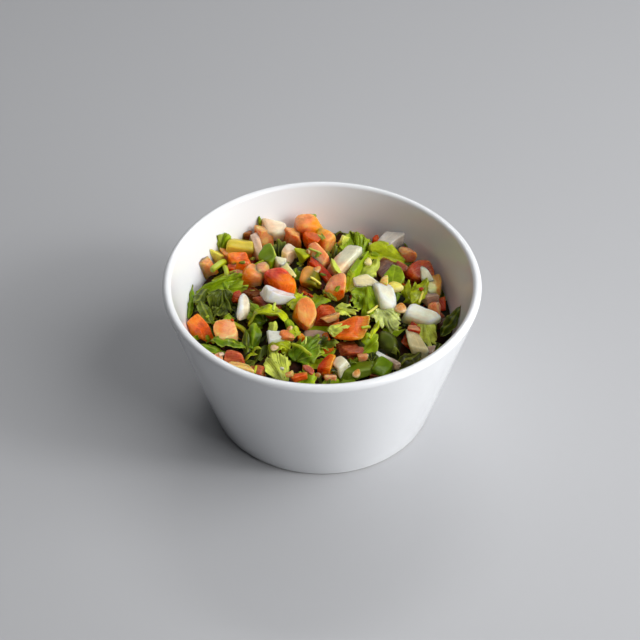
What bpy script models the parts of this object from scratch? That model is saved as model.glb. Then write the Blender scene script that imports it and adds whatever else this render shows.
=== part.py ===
"""Pico de gallo in its conical porcelain bowl.

Metres, +Z up. The origin is the centre of the foot circle, on the surface that the bowl stands on.
The bowl is one turned solid. The salad is one heap: a domed core that fills the cone, with the pieces
that show at its top joined on, each at its true size.
"""

import math
import random

import bmesh
import bpy
from mathutils import Euler, Matrix, Vector

MM = 0.001

# Bowl, in millimetres
RIM_RADIUS = 48.0
HEIGHT = 49.7
WALL = 2.8
LEAN = math.radians(15.0)
LIP = WALL / 2
FLOOR_TOP = 3.5
INNER_CORNER = 6.0
FOOT_RECESS = 1.0
FOOT_WIDTH = 3.3
FOOT_EDGE = 0.8
BOWL_SIDES = 56

# Heap, in millimetres
GAP = 0.35
WALL_LEVEL = 34.5
CROWN = 5.0
LEVEL_RADIUS = 42.0
RISE_TO_BACK = 0.04
RISE_TO_LEFT = 0.03
CORE_DEPTH = 3.6
CORE_BUMP = 1.1
CORE_SIDES = 32
CORE_RINGS = 6
ROOT = 0.8
STEEP = 26
LEAF_THICKNESS = 0.8
LEAF_POINTS = 12
HIGHEST = 43.2
FILLERS = 96
FILLER_SPREAD = 39.5
FILLER_SPACE = 0.5
FILLER_SIZE = (3.6, 6.4)
FILLER_TOP = (-2.6, -1.2)
HIDDEN_FRONT = -29.0
FRONT_TOP = (-0.8, 1.2)
GOLDEN_ANGLE = math.pi * (3 - math.sqrt(5))
WELD = 2e-6
SEED = 11

# The pieces that show. Each row gives the plan place x and y, how far the piece's top stands above the
# heap's skin, its length, width and height, then its heading, nose-up and roll in degrees, and for some
# a taper (the far end's width less the near end's, over their sum) and a roundness from 0 to 1.
TOMATO = (
    (-37.2, 20.5, 2.4, 4.6, 4.0, 7.0, 20, 0, 0),
    (-29.6, 25.0, 1.0, 3.6, 3.2, 4.0, 10, 0, 0),
    (-18.9, 15.0, 1.5, 4.3, 4.8, 6.0, 5, 0, 0, 0, 0.4),
    (-18.6, 33.6, 3.5, 4.8, 4.6, 8.0, 12, 0, 0),
    (-9.2, 32.6, 1.2, 3.6, 4.0, 5.5, 20, 0, 0),
    (-2.8, 24.6, 1.6, 9.0, 4.8, 6.0, -62, 0, 0),
    (3.8, 7.6, 2.0, 10.0, 5.6, 5.5, 96, 8, 0),
    (26.9, 26.6, 1.5, 4.0, 4.2, 5.6, 10, 0, 0),
    (-12.4, -14.4, 1.5, 7.0, 3.6, 2.6, 8, 0, 10),
    (-25.9, 20.4, 1.6, 6.4, 6.0, 6.0, 15, 0, 0, 0, 0.5),
    (-22.4, 14.6, 1.4, 4.6, 5.0, 7.2, 0, 0, 0, 0, 0.35),
    (-4.6, 35.8, 4.2, 8.4, 6.6, 8.0, 10, 0, 0, 0, 0.35),
    (1.0, 31.2, 2.4, 5.0, 5.4, 7.0, 60, 0, 0, 0, 0.35),
    (-4.6, 28.6, 2.6, 4.2, 4.0, 4.0, -50, 0, 0),
    (-37.0, -6.6, 0.4, 8.2, 4.2, 5.6, -58, 0, 0, -0.3),
    (-29.1, -10.2, 1.6, 7.6, 6.6, 6.6, -14, 0, 0),
    (-23.6, -25.0, 0.6, 6.4, 2.6, 2.6, -28, 0, 0),
    (-5.4, -4.4, 2.8, 7.8, 5.6, 7.0, -52, 0, 0, -0.15),
    (8.0, -11.4, 1.6, 12.0, 8.0, 3.4, 12, 0, -22, 0.1, 0.4),
    (19.2, 9.6, 2.4, 4.8, 2.4, 2.6, 80, 0, 0, -0.3, 0.5),
    (-13.0, 9.4, 2.2, 10.0, 6.6, 6.2, -62, 0, 0, 0, 0.35),
    (0.6, -4.6, 0.9, 6.8, 6.0, 6.6, 8, 0, 0),
    (-0.2, 15.8, 0.4, 11.0, 3.4, 4.5, -58, -8, 0),
    (1.4, -23.4, 0.8, 4.0, 5.5, 6.5, -18, 0, 0),
    (31.4, 18.2, 2.0, 8.0, 7.2, 7.0, 34, 0, 0),
    (17.5, 32.2, 1.2, 2.4, 3.0, 5.4, 15, 0, 0),
    (-21.4, 6.6, -1.6, 4.6, 5.0, 6.5, 10, 0, 0),
    (-26.0, -20.0, -0.4, 6.4, 4.2, 4.0, -12, 0, 0),
    (8.6, -16.2, -1.8, 7.6, 5.0, 4.6, 0, 0, 0),
    (-25.2, 15.6, -0.8, 4.4, 4.0, 4.2, 0, 0, 0),
    (25.2, 19.4, 0.4, 4.6, 4.0, 4.8, -35, 0, 0),
    (35.0, 3.6, 0.4, 4.4, 3.8, 4.6, 60, 0, 0),
    (2.6, -28.4, -0.2, 3.2, 2.8, 3.2, 0, 0, 0),
    (-3.8, -26.4, 0.2, 3.4, 1.8, 2.4, -40, 0, 0),
)
ONION = (
    (-21.2, 26.6, 1.6, 9.6, 3.2, 5.0, 103, 12, 0, -0.2),
    (-14.8, 35.8, 4.0, 6.8, 5.0, 8.0, 8, 0, 0),
    (-10.2, 25.0, 0.8, 3.6, 4.0, 7.0, 8, 0, 0),
    (-13.0, 18.0, 1.2, 2.8, 3.6, 4.5, 0, 0, 0),
    (-10.6, 14.0, 0.8, 7.4, 2.2, 3.0, -72, 0, 0),
    (-13.4, 1.8, 2.2, 9.2, 4.6, 3.2, -22, 0, -14, -0.1),
    (8.0, 21.2, 2.2, 11.8, 5.2, 4.0, 49, 6, 0, 0, 0.25),
    (7.2, 31.8, 1.2, 4.4, 2.2, 4.2, 55, 0, 0),
    (22.4, 30.6, 2.0, 8.4, 4.8, 3.6, 56, 8, 0, 0.25),
    (32.2, 16.4, 2.2, 5.0, 2.0, 2.8, 75, 10, 0, -0.3),
    (13.3, 9.9, 1.6, 7.2, 4.4, 3.2, 0, 0, 0),
    (19.5, 2.8, 2.6, 12.0, 6.2, 3.4, 96, 0, 0, 0.2, 0.55),
    (33.4, 7.4, 0.4, 4.2, 3.2, 4.2, 40, 0, 0),
    (30.8, -3.0, 2.8, 9.2, 6.6, 6.6, -8, 0, 0),
    (28.2, -12.4, 0.4, 9.0, 4.0, 4.2, -72, -6, 0, 0.15),
    (32.0, -15.2, -0.8, 3.2, 3.0, 3.4, 0, 0, 0),
    (-23.6, -1.8, 1.4, 11.2, 4.0, 4.2, 92, 0, 0, 0, 0.6),
    (-1.0, -12.0, -1.6, 5.6, 3.8, 4.2, 0, 0, 0),
    (5.6, -23.4, 1.2, 4.6, 4.6, 6.2, 22, 0, 0),
    (19.4, -20.9, -0.5, 7.8, 2.4, 3.4, -36, 0, 0),
    (34.8, 12.8, 0.8, 5.6, 4.0, 4.0, 100, 0, 0, 0, 0.5),
)
PEPPER = (
    (-26.8, 28.4, 2.4, 7.8, 6.4, 6.6, 0, 0, 0, 0, 0.3),
    (-33.4, 24.4, 1.8, 4.2, 3.0, 4.0, -50, 0, 0),
    (-17.2, 20.8, 2.2, 8.8, 5.8, 5.6, 100, 0, 0, 0, 0.5),
    (20.6, -13.6, -1.4, 7.0, 6.4, 6.6, 0, 0, 0, 0, 0.6),
    (10.8, -25.0, 0.4, 11.4, 6.2, 2.4, 24, 0, -12, 0, 0.3),
    (17.4, -24.0, -0.2, 5.4, 4.6, 3.4, 60, 0, 0),
    (10.8, 17.6, 1.4, 10.4, 3.0, 3.2, 58, 6, 0),
    (4.2, 13.6, 3.0, 5.2, 1.8, 2.0, -74, 0, 0),
    (-6.0, 22.6, 1.6, 6.2, 2.6, 3.0, -66, 0, 0),
    (-4.2, 13.2, 0.6, 6.6, 5.2, 6.0, 70, 0, 0, 0, 0.3),
)
STEM = (
    (-32.4, 18.2, 1.8, 6.2, 1.9, 1.9, 45, 0, 0),
    (-30.2, 15.6, 1.2, 5.0, 1.5, 1.5, -76, 0, 0),
    (-6.0, -21.0, 1.4, 8.0, 1.2, 1.2, -52, 0, 0),
)
LEAF = (
    (-31.4, 27.6, 6.2, 7.0, 4.2, 2.5, 88, 62, 0),
    (-14.2, 27.4, 1.2, 9.0, 5.4, 2.5, 92, 40, 0),
    (3.8, 24.6, 0.6, 9.0, 4.0, 2.5, 80, 30, 0),
    (11.0, 30.4, 1.8, 11.0, 11.6, 3.0, 85, 42, 0),
    (19.8, 23.6, 2.4, 12.0, 9.6, 3.0, 12, 0, 0),
    (22.4, 14.8, 1.4, 8.6, 6.4, 2.4, 95, 20, 0),
    (15.2, 18.2, 0.6, 7.0, 5.4, 2.0, 80, 10, 0),
    (7.2, 10.4, 0.2, 7.6, 4.4, 2.0, 85, 10, 0),
    (13.6, 1.6, 1.8, 12.4, 8.0, 2.6, 94, 22, 0),
    (20.8, -5.2, 1.2, 8.6, 7.2, 3.0, -40, 0, 0),
    (28.0, 8.2, 1.0, 9.4, 5.0, 2.4, 80, 28, 0),
    (31.8, -8.8, 0.8, 10.4, 5.6, 2.4, 88, 25, 0),
    (28.0, 29.0, 1.2, 8.4, 4.2, 2.0, 100, 46, 0),
    (-30.6, 7.4, 2.4, 14.8, 8.6, 3.2, 4, 0, -14),
    (-30.2, 0.4, 0.8, 9.0, 8.0, 3.0, -86, -30, 0),
    (-15.2, -5.4, 1.4, 12.6, 7.0, 3.6, -24, 0, 0),
    (-18.6, -0.6, 0.2, 6.0, 6.0, 2.0, 30, 0, 0),
    (-19.4, -14.4, 0.0, 8.6, 5.0, 2.6, 86, 50, 0),
    (-11.8, -18.2, 1.0, 6.0, 5.0, 2.4, 0, 0, 0),
    (-4.2, -18.2, 1.8, 9.8, 8.8, 2.6, 60, 10, 0),
    (-12.8, -25.0, 1.2, 9.8, 8.4, 2.6, -70, 10, 0),
    (-4.4, -28.0, 0.6, 6.8, 5.0, 2.0, 80, 20, 0),
    (4.8, -11.4, 2.8, 7.0, 4.4, 1.6, 20, 0, 0),
    (7.6, -4.4, 1.0, 6.2, 4.8, 1.6, -20, 0, 0),
    (14.4, -14.8, 1.8, 8.8, 6.0, 3.0, 70, 15, 0),
    (1.4, -16.4, -0.6, 5.4, 4.4, 1.8, 0, 0, 0),
    (-7.0, -0.2, 1.6, 7.6, 3.2, 2.0, 55, 0, 0),
    (14.8, -19.4, -0.6, 5.0, 5.0, 1.8, 90, 0, 0),
)
BLADE = (
    (-40.8, 4.6, 0.8, 14.0, 2.4, 1.2, 90, 10, 0),
    (-35.4, -1.8, 0.2, 10.4, 4.0, 1.4, -68, 0, 0),
    (-32.8, -16.6, 0.2, 9.8, 3.0, 1.2, -24, 0, 0),
    (30.2, 7.4, 1.6, 11.2, 4.2, 1.4, 64, 0, 0),
    (39.6, -4.8, 5.6, 12.0, 4.4, 1.4, 47, 28, 0),
    (26.8, -20.6, -0.6, 9.0, 4.2, 1.4, 34, 0, 0),
    (2.4, 2.0, 1.2, 7.0, 2.2, 1.0, -52, 0, 0),
    (-22.6, -15.0, 0.6, 9.0, 2.6, 1.2, 96, 30, 0),
    (-19.9, 36.4, 5.8, 6.0, 1.4, 1.0, 95, 62, 0),
    (-9.4, -10.4, 0.6, 8.4, 2.6, 1.4, -68, 0, 0),
)
SEEDS = (
    (24.0, -1.6, 2.0, 3.6, 3.0, 1.8, 80, 0, 0),
    (10.2, -27.2, 1.6, 3.4, 2.2, 1.6, 70, 0, 0),
    (14.6, 19.4, 1.6, 3.6, 2.4, 1.6, 80, 0, 0),
    (23.0, 8.6, 1.6, 4.2, 3.6, 2.4, 80, 0, 0),
    (-1.4, 14.2, 1.4, 3.0, 2.0, 1.6, 50, 0, 0),
    (-14.0, -19.6, 1.8, 2.6, 2.0, 1.6, 0, 0, 0),
)


def clear_scene():
    for item in list(bpy.data.objects):
        bpy.data.objects.remove(item)


def material(name, colour, roughness):
    """A Principled material in one colour."""
    result = bpy.data.materials.new(name)
    result.use_nodes = True
    shader = result.node_tree.nodes["Principled BSDF"]
    shader.inputs["Base Color"].default_value = (*colour, 1.0)
    shader.inputs["Roughness"].default_value = roughness
    shader.inputs["Metallic"].default_value = 0.0
    result.diffuse_color = (*colour, 1.0)
    return result


def link_mesh(name, bm, collection=None):
    """Turns a bmesh in millimetres into a linked object in metres."""
    bmesh.ops.scale(bm, vec=(MM, MM, MM), verts=bm.verts)
    bmesh.ops.recalc_face_normals(bm, faces=bm.faces)
    mesh = bpy.data.meshes.new(name)
    bm.to_mesh(mesh)
    bm.free()
    result = bpy.data.objects.new(name, mesh)
    (collection or bpy.context.scene.collection).objects.link(result)
    return result


# The bowl's profile
LIP_CENTRE = Vector((RIM_RADIUS - LIP, HEIGHT - LIP))
ALONG = Vector((math.sin(LEAN), math.cos(LEAN)))
OUTWARD = Vector((math.cos(LEAN), -math.sin(LEAN)))


def outer_radius(z):
    start = LIP_CENTRE + OUTWARD * LIP
    return start.x + (z - start.y) * math.tan(LEAN)


def inner_radius(z):
    start = LIP_CENTRE - OUTWARD * LIP
    return start.x + (z - start.y) * math.tan(LEAN)


def arc(centre, radius, start, end, steps):
    """Points on an arc in the profile's plane, its angles in degrees from +X."""
    points = []
    for i in range(steps + 1):
        angle = math.radians(start + (end - start) * i / steps)
        points.append(centre + radius * Vector((math.cos(angle), math.sin(angle))))
    return points


def inner_corner(offset=0.0, steps=4):
    """The rounded corner between floor and wall, offset into the bowl."""
    radius = INNER_CORNER - offset
    lean = math.degrees(LEAN)
    centre_z = FLOOR_TOP + INNER_CORNER
    centre = Vector((inner_radius(centre_z) - INNER_CORNER / math.cos(LEAN), centre_z))
    return arc(centre, radius, -90, -lean, steps)


def bowl_profile():
    """Half section from the centre of the underside round to the centre of the floor."""
    foot_radius = outer_radius(FOOT_EDGE)
    recess_radius = foot_radius - FOOT_EDGE - FOOT_WIDTH
    lean = math.degrees(LEAN)
    points = [Vector((0.0, FOOT_RECESS)), Vector((recess_radius - FOOT_RECESS, FOOT_RECESS))]
    points.append(Vector((recess_radius, 0.0)))
    edge_centre = Vector((foot_radius - FOOT_EDGE, FOOT_EDGE))
    points += arc(edge_centre, FOOT_EDGE, -90, -lean, 3)
    points += arc(LIP_CENTRE, LIP, -lean, 180 - lean, 8)
    points += reversed(inner_corner())
    points.append(Vector((0.0, FLOOR_TOP)))
    return points


def make_bowl():
    """The turned porcelain bowl with its foot ring and rounded lip."""
    bm = bmesh.new()
    points = [bm.verts.new((p.x, 0.0, p.y)) for p in bowl_profile()]
    edges = [bm.edges.new(pair) for pair in zip(points, points[1:])]
    bmesh.ops.spin(
        bm, geom=points + edges, cent=(0, 0, 0), axis=(0, 0, 1),
        angle=2 * math.pi, steps=BOWL_SIDES, use_merge=True,
    )
    bmesh.ops.remove_doubles(bm, verts=bm.verts, dist=1e-4)
    bowl = link_mesh("bowl", bm)
    bowl.data.shade_smooth()
    bowl.data.set_sharp_from_angle(angle=math.radians(40))
    bowl.data.materials.append(material("porcelain", (0.8, 0.81, 0.82), 0.15))
    return bowl


# The heap
def skin_height(x, y):
    """The smooth surface that the tops of the pieces lie about."""
    share = min(1.0, (x * x + y * y) / LEVEL_RADIUS ** 2)
    return WALL_LEVEL + CROWN * (1 - share) + RISE_TO_BACK * y - RISE_TO_LEFT * x


def keep_inside(point, gap=GAP):
    """Moves a point in from the wall and down from the rim where it would cross them."""
    point.z = min(point.z, HIGHEST)
    limit = inner_radius(point.z) - gap / math.cos(LEAN)
    distance = math.hypot(point.x, point.y)
    if distance > limit:
        point.x *= limit / distance
        point.y *= limit / distance


def core_top(x, y):
    """The core's bumpy top, below the pieces."""
    bump = math.sin(0.62 * x + 0.4) * math.cos(0.55 * y) + 0.5 * math.sin(0.9 * y - 0.5 * x)
    return skin_height(x, y) - CORE_DEPTH + CORE_BUMP * bump


def make_core():
    """The filling of the cone up to a bumpy dome, without the pieces."""
    bm = bmesh.new()
    angles = [2 * math.pi * i / CORE_SIDES for i in range(CORE_SIDES)]

    def ring(radius, height):
        points = []
        for angle in angles:
            x, y = math.cos(angle), math.sin(angle)
            z = height(radius * x, radius * y) if callable(height) else height
            points.append(bm.verts.new((radius * x, radius * y, z)))
        return points

    rings = []
    top_radius = inner_radius(WALL_LEVEL - CORE_DEPTH)
    for i in range(1, CORE_RINGS + 1):
        rings.append(ring(top_radius * i / CORE_RINGS, core_top))
    for point in inner_corner(offset=GAP, steps=3)[::-1]:
        rings.append(ring(point.x, point.y))
    for upper, lower in zip(rings, rings[1:]):
        for i in range(CORE_SIDES):
            j = (i + 1) % CORE_SIDES
            bm.faces.new((upper[i], lower[i], lower[j], upper[j]))
    for edge_ring, height in ((rings[0], core_top(0, 0)), (rings[-1], FLOOR_TOP + GAP)):
        centre = bm.verts.new((0, 0, height))
        for i in range(CORE_SIDES):
            bm.faces.new((centre, edge_ring[i], edge_ring[(i + 1) % CORE_SIDES]))
    for vert in bm.verts:
        keep_inside(vert.co)
    return link_mesh("pico_heap", bm)


def place(bm, row):
    """Sizes, turns and moves a piece made between -1 and 1, and keeps it inside the bowl.

    The selected points are the piece's root. They reach down into the core, so that no piece is loose.
    """
    x, y, top, length, width, height, heading, nose_up, roll = row[:9]
    turn = Euler([math.radians(a) for a in (roll, -nose_up, heading)], "XYZ").to_matrix()
    reach = abs(turn[2][0]) * length + abs(turn[2][1]) * width + abs(turn[2][2]) * height
    middle = Vector((x, y, skin_height(x, y) + top - 0.45 * reach))
    size = Vector((length, width, height)) / 2
    for vert in bm.verts:
        vert.co = middle + turn @ (vert.co * size)
        if vert.select:
            vert.co.z = min(vert.co.z, core_top(vert.co.x, vert.co.y) - ROOT)
        keep_inside(vert.co)


def chunk(row, draw):
    """A cut piece: a box with its corners drawn in by its roundness and its faces a little crowned."""
    taper, roundness = row[9:11] if len(row) == 11 else (row[9] if len(row) == 10 else 0.0, 0.25)
    bm = bmesh.new()
    bmesh.ops.create_cube(bm, size=2.0)
    bmesh.ops.subdivide_edges(bm, edges=bm.edges, cuts=1, use_grid_fill=True)
    for vert in bm.verts:
        vert.select = vert.co.z < -0.5
        vert.co *= vert.co.length ** -roundness
        vert.co.y *= 1 + taper * vert.co.x
        vert.co += Vector([draw.uniform(-0.07, 0.07) for _ in range(3)])
    bmesh.ops.triangulate(bm, faces=bm.faces)
    return bm


def stem(row, draw):
    """A six-sided stalk with a slight bend."""
    bm = bmesh.new()
    bmesh.ops.create_cone(bm, cap_ends=True, segments=6, radius1=1, radius2=1, depth=2)
    bmesh.ops.rotate(bm, verts=bm.verts, matrix=Matrix.Rotation(math.pi / 2, 3, "Y"))
    long_edges = [e for e in bm.edges if abs(e.verts[0].co.x - e.verts[1].co.x) > 1]
    bmesh.ops.subdivide_edges(bm, edges=long_edges, cuts=2)
    bend = draw.uniform(0.3, 0.7)
    for vert in bm.verts:
        vert.select = abs(vert.co.x) > 0.9 and vert.co.z < -0.7
        vert.co.z += bend * (1 - vert.co.x ** 2)
    return bm


def seed(row, draw):
    """A flat seed with one blunt and one pointed end."""
    bm = bmesh.new()
    bmesh.ops.create_icosphere(bm, subdivisions=1, radius=1.0)
    for vert in bm.verts:
        vert.select = vert.co.z < -0.8
        vert.co.y *= 1 - 0.35 * vert.co.x
    return bm


def two_faces(bm, outline, centre, row):
    """Closes a thin solid between two like fans round a centre line of one or more points."""
    half = LEAF_THICKNESS / row[5]
    sides = []
    for lift in (half, -half):
        rim = [bm.verts.new(p + Vector((0, 0, lift))) for p in outline]
        hub = bm.verts.new(centre + Vector((0, 0, lift)))
        sides.append((rim, hub))
    hub.select = max(abs(turn) for turn in row[7:9]) < STEEP
    count = len(outline)
    for i in range(count):
        j = (i + 1) % count
        (upper, upper_hub), (lower, lower_hub) = sides
        bm.faces.new((upper_hub, upper[i], upper[j]))
        bm.faces.new((lower_hub, lower[j], lower[i]))
        bm.faces.new((upper[i], lower[i], lower[j]))
        bm.faces.new((upper[i], lower[j], upper[j]))


def leaf(row, draw):
    """A lobed leaf: three lobes with a tooth each side, cupped and waved."""
    bm = bmesh.new()
    phase = draw.uniform(0, 2 * math.pi)
    outline = []
    for i in range(LEAF_POINTS):
        angle = 2 * math.pi * i / LEAF_POINTS
        reach = 1.0 + 0.14 * math.cos(3 * angle) + (0.1 if i % 2 else -0.08)
        wave = 0.45 * math.cos(2 * angle + phase) - 0.3
        outline.append(Vector((reach * math.cos(angle), reach * math.sin(angle), wave)))
    two_faces(bm, outline, Vector((0, 0, 0.5)), row)
    return bm


def blade(row, draw):
    """A narrow leaf, pointed at both ends and arched along its length."""
    bm = bmesh.new()
    outline = []
    for x, y in ((-1, 0), (-0.45, -0.8), (0.3, -1), (1, 0), (0.3, 1), (-0.45, 0.8)):
        outline.append(Vector((x, y, -0.8 * x * x - 0.2 * y * y)))
    two_faces(bm, outline, Vector((0, 0, 0.4)), row)
    return bm


def filler(row, draw):
    """A small six-sided chip."""
    bm = bmesh.new()
    bmesh.ops.create_cube(bm, size=2.0)
    for vert in bm.verts:
        vert.select = vert.co.z < -0.5
        vert.co += Vector([draw.uniform(-0.3, 0.1) * c for c in vert.co])
    bmesh.ops.triangulate(bm, faces=bm.faces)
    return bm


def filler_rows(shown, draw):
    """Chips on a sunflower spiral, between the pieces that show and lower, but full at the hidden front."""
    rows = []
    for i in range(FILLERS):
        distance = FILLER_SPREAD * math.sqrt((i + 0.5) / FILLERS)
        x = distance * math.cos(i * GOLDEN_ANGLE)
        y = distance * math.sin(i * GOLDEN_ANGLE)
        size = [draw.uniform(*FILLER_SIZE) for _ in range(3)]
        turns = [draw.uniform(0, 90), draw.uniform(-25, 25), draw.uniform(-25, 25)]
        top = draw.uniform(*(FRONT_TOP if y < HIDDEN_FRONT else FILLER_TOP))
        covered = any(math.hypot(x - row[0], y - row[1]) < FILLER_SPACE * (row[3] + row[4]) for row in shown)
        if not covered:
            rows.append((x, y, top, *size, *turns))
    return rows


KINDS = (
    (chunk, TOMATO), (chunk, ONION), (chunk, PEPPER), (stem, STEM), (leaf, LEAF), (blade, BLADE),
    (seed, SEEDS),
)


def make_pieces():
    """Every piece as its own object, the largest first, in a collection for the union."""
    collection = bpy.data.collections.new("pieces")
    bpy.context.scene.collection.children.link(collection)
    draw = random.Random(SEED)
    rows = [(shape, row) for shape, table in KINDS for row in table]
    rows += [(filler, row) for row in filler_rows([row for _, row in rows], draw)]
    rows.sort(key=lambda item: -item[1][3] * item[1][4] * item[1][5])
    for number, (shape, row) in enumerate(rows):
        bm = shape(row, draw)
        place(bm, row)
        link_mesh(f"piece_{number:03d}", bm, collection)
    return collection


def largest_shell(bm):
    """Keeps the largest surface joined edge to edge, so that scraps go and sealed hollows fill."""
    unseen = set(bm.faces)
    shells = []
    while unseen:
        shell = [unseen.pop()]
        front = list(shell)
        while front:
            for edge in front.pop().edges:
                for face in edge.link_faces:
                    if len(edge.link_faces) == 2 and face in unseen:
                        unseen.discard(face)
                        shell.append(face)
                        front.append(face)
        shells.append(shell)
    shells.sort(key=len)
    for shell in shells[:-1]:
        bmesh.ops.delete(bm, geom=shell, context="FACES")


def make_heap():
    """The core and the pieces as one solid."""
    heap = make_core()
    pieces = make_pieces()
    union = heap.modifiers.new("union", "BOOLEAN")
    union.operation = "UNION"
    union.operand_type = "COLLECTION"
    union.collection = pieces
    union.solver = "MANIFOLD"
    joined = bpy.data.meshes.new_from_object(heap.evaluated_get(bpy.context.evaluated_depsgraph_get()))
    heap.modifiers.clear()
    heap.data = joined
    for piece in list(pieces.objects):
        bpy.data.objects.remove(piece)
    bpy.data.collections.remove(pieces)
    bm = bmesh.new()
    bm.from_mesh(joined)
    bmesh.ops.remove_doubles(bm, verts=bm.verts, dist=WELD)
    bmesh.ops.triangulate(bm, faces=bm.faces)
    largest_shell(bm)
    bm.to_mesh(joined)
    bm.free()
    joined.materials.clear()
    joined.materials.append(material("salad", (0.42, 0.2, 0.05), 0.35))
    return heap


clear_scene()
make_bowl()
make_heap()
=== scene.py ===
"""The looks of a pico de gallo in its conical white porcelain bowl.

Places and sizes are in millimetres in the part's own frame (+Z up, the origin under the middle of the
foot) and become metres when a mesh is made. The heap is made again from its real pieces: diced tomato,
onion and green pepper, coriander leaves and stalks, and seeds, over a core of wet pulp whose near-black
colour is painted shade for the deep gaps. Each kind is one object.
"""

import functools
import math
from types import SimpleNamespace

import bmesh
import bpy
import numpy as np
from mathutils import Euler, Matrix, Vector
from mathutils.bvhtree import BVHTree


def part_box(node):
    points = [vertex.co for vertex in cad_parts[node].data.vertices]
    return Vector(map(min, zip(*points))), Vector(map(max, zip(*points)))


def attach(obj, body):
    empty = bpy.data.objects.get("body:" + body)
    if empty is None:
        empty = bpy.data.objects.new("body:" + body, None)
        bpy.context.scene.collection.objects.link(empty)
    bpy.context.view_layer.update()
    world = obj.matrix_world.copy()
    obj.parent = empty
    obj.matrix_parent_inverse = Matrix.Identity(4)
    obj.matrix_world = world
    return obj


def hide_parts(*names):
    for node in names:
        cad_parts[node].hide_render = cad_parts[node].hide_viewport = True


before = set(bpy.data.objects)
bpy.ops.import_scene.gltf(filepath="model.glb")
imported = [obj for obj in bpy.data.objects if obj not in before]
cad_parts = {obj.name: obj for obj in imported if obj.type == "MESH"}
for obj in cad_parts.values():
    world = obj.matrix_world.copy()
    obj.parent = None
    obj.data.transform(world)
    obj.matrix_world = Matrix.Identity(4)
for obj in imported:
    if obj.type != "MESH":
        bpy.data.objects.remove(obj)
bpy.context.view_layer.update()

MM = 0.001
SEED = 11

# Bowl
_, BOWL_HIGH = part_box("bowl")
RIM_RADIUS = BOWL_HIGH.x / MM
HEIGHT = BOWL_HIGH.z / MM
WALL = 2.8
LEAN = math.radians(15.0)
LIP = WALL / 2
FLOOR_TOP = 3.5
INNER_CORNER = 6.0
FOOT_RECESS = 1.0
FOOT_WIDTH = 3.3
FOOT_EDGE = 0.8
BOWL_SIDES = 192
LIP_STEPS = 18
CORNER_STEPS = 10
FOOT_STEPS = 6
BOWL_SHARP = 40

# Heap
GAP = 0.2
WALL_LEVEL = 34.5
CROWN = 5.0
LEVEL_RADIUS = 42.0
RISE_TO_BACK = 0.04
RISE_TO_LEFT = 0.03
CORE_DEPTH = 3.6
CORE_BUMP = 1.1
CORE_SIDES = 128
CORE_RINGS = 40
CORE_CORNER_STEPS = 4
CORE_RELIEF = ((4.0, 0.35), (1.9, 0.25))
CORE_SHARP = 80
HIGHEST = 43.2
HIDDEN_FRONT = -29.0
FILLERS = 260
FILLER_SPREAD = 39.5
LEAF_FILLER_TOP = (-2.0, 0.5)
BLOCK_FILLER_TOP = (-3.2, -0.8)
FRONT_TOP = (-0.8, 1.4)
GOLDEN_ANGLE = math.pi * (3 - math.sqrt(5))

# Camera and lights
CAMERA_PITCH = 42.3
CAMERA_DISTANCE = 450.6
CAMERA_AIM = (-0.57, -8.88, 39.93)
LENS = 84.375
SENSOR = 36.0
KEY_PLACE = (0.710, -0.231, 0.503)
HEAP_MIDDLE = (0, 0, 0.03)
FOOT_MIDDLE = (0, 0, 0)
WHITE = (1, 1, 1)
SKY = (0.97, 0.98, 1)
# Each light's name, place, target, size, power in watts and colour.
LIGHTS = (
    ("key", KEY_PLACE, HEAP_MIDDLE, (0.9, 1.1), 10.6, WHITE),
    ("spark", KEY_PLACE, HEAP_MIDDLE, (0.16, 0.16), 2, WHITE),
    ("strip", (0.1, 0.8, 0.9), FOOT_MIDDLE, (0.5, 0.1), 1.5, WHITE),
    ("overhead", (-0.1, 0.3, 1.25), FOOT_MIDDLE, (1.6, 1.6), 3.4, SKY),
    ("behind", (0, 0.9, 1), FOOT_MIDDLE, (1.6, 0.9), 1.5, SKY),
)
WORLD_COLOUR = (0.93, 0.96, 1, 1)
WORLD_STRENGTH = 0.015
FLOOR_REACH = 3.0
FLOOR_DROP = 0.00003

# Colours of the plain materials, as linear values
GLAZE = ((0.86, 0.875, 0.895, 1), (0.885, 0.9, 0.92, 1))
BARE_FOOT = (0.72, 0.70, 0.66, 1)
FIBRE = (0.8, 0.55, 0.2, 1)
VEIN = (0.56, 0.62, 0.05, 1)
# The pulp's near-black colours are painted shade for the deep gaps between the pieces.
PULP_SHADE_GREEN = (0.009, 0.012, 0.002, 1)
PULP_SHADE_RED = (0.034, 0.009, 0.003, 1)
PULP_SHADE_BITS = (0.12, 0.06, 0.015, 1)
FLOOR_GREYS = ((0.475, 0.48, 0.495, 1), (0.495, 0.50, 0.515, 1))

# Colours as they look in the light, red, green and blue from 0 to 255. The darkest, such as rust,
# bottle, dark and mauve, are partly painted shade for pieces that lie in shadow.
PAINT = dict(
    peach=(255, 184, 112), salmon=(252, 146, 92), orange=(248, 120, 14), amber=(246, 154, 30),
    deep=(212, 88, 4), coral=(200, 50, 28), brick=(166, 52, 14), rust=(92, 40, 10), skin=(192, 56, 8),
    pink=(232, 144, 106), rose=(176, 90, 70), apricot=(254, 152, 82), blush=(250, 154, 108),
    russet=(186, 76, 18), sienna=(156, 68, 40), white=(255, 249, 228), pearl=(224, 206, 178),
    shell=(212, 176, 142), mauve=(172, 142, 122), straw=(232, 218, 136), beige=(228, 210, 158),
    tan=(222, 150, 62), bone=(240, 224, 176), cream=(216, 212, 182), lilac=(216, 206, 194),
    lime=(176, 188, 16), leaf=(102, 132, 8), grass=(138, 164, 14), moss=(74, 88, 6), dark=(42, 52, 4),
    pale=(196, 208, 84), olive=(116, 112, 10), sage=(94, 108, 32), lemon=(236, 226, 96),
    mustard=(198, 178, 60), green=(110, 136, 4), bottle=(32, 42, 4), fern=(88, 108, 6),
    ivory=(255, 244, 212), frost=(204, 216, 128), murk=(62, 64, 10),
)


def paint(name):
    """A named colour as the linear values that shaders take."""
    share = np.array(PAINT[name], float) / 255
    return np.where(share < 0.04045, share / 12.92, ((share + 0.055) / 1.055) ** 2.4)


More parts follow.
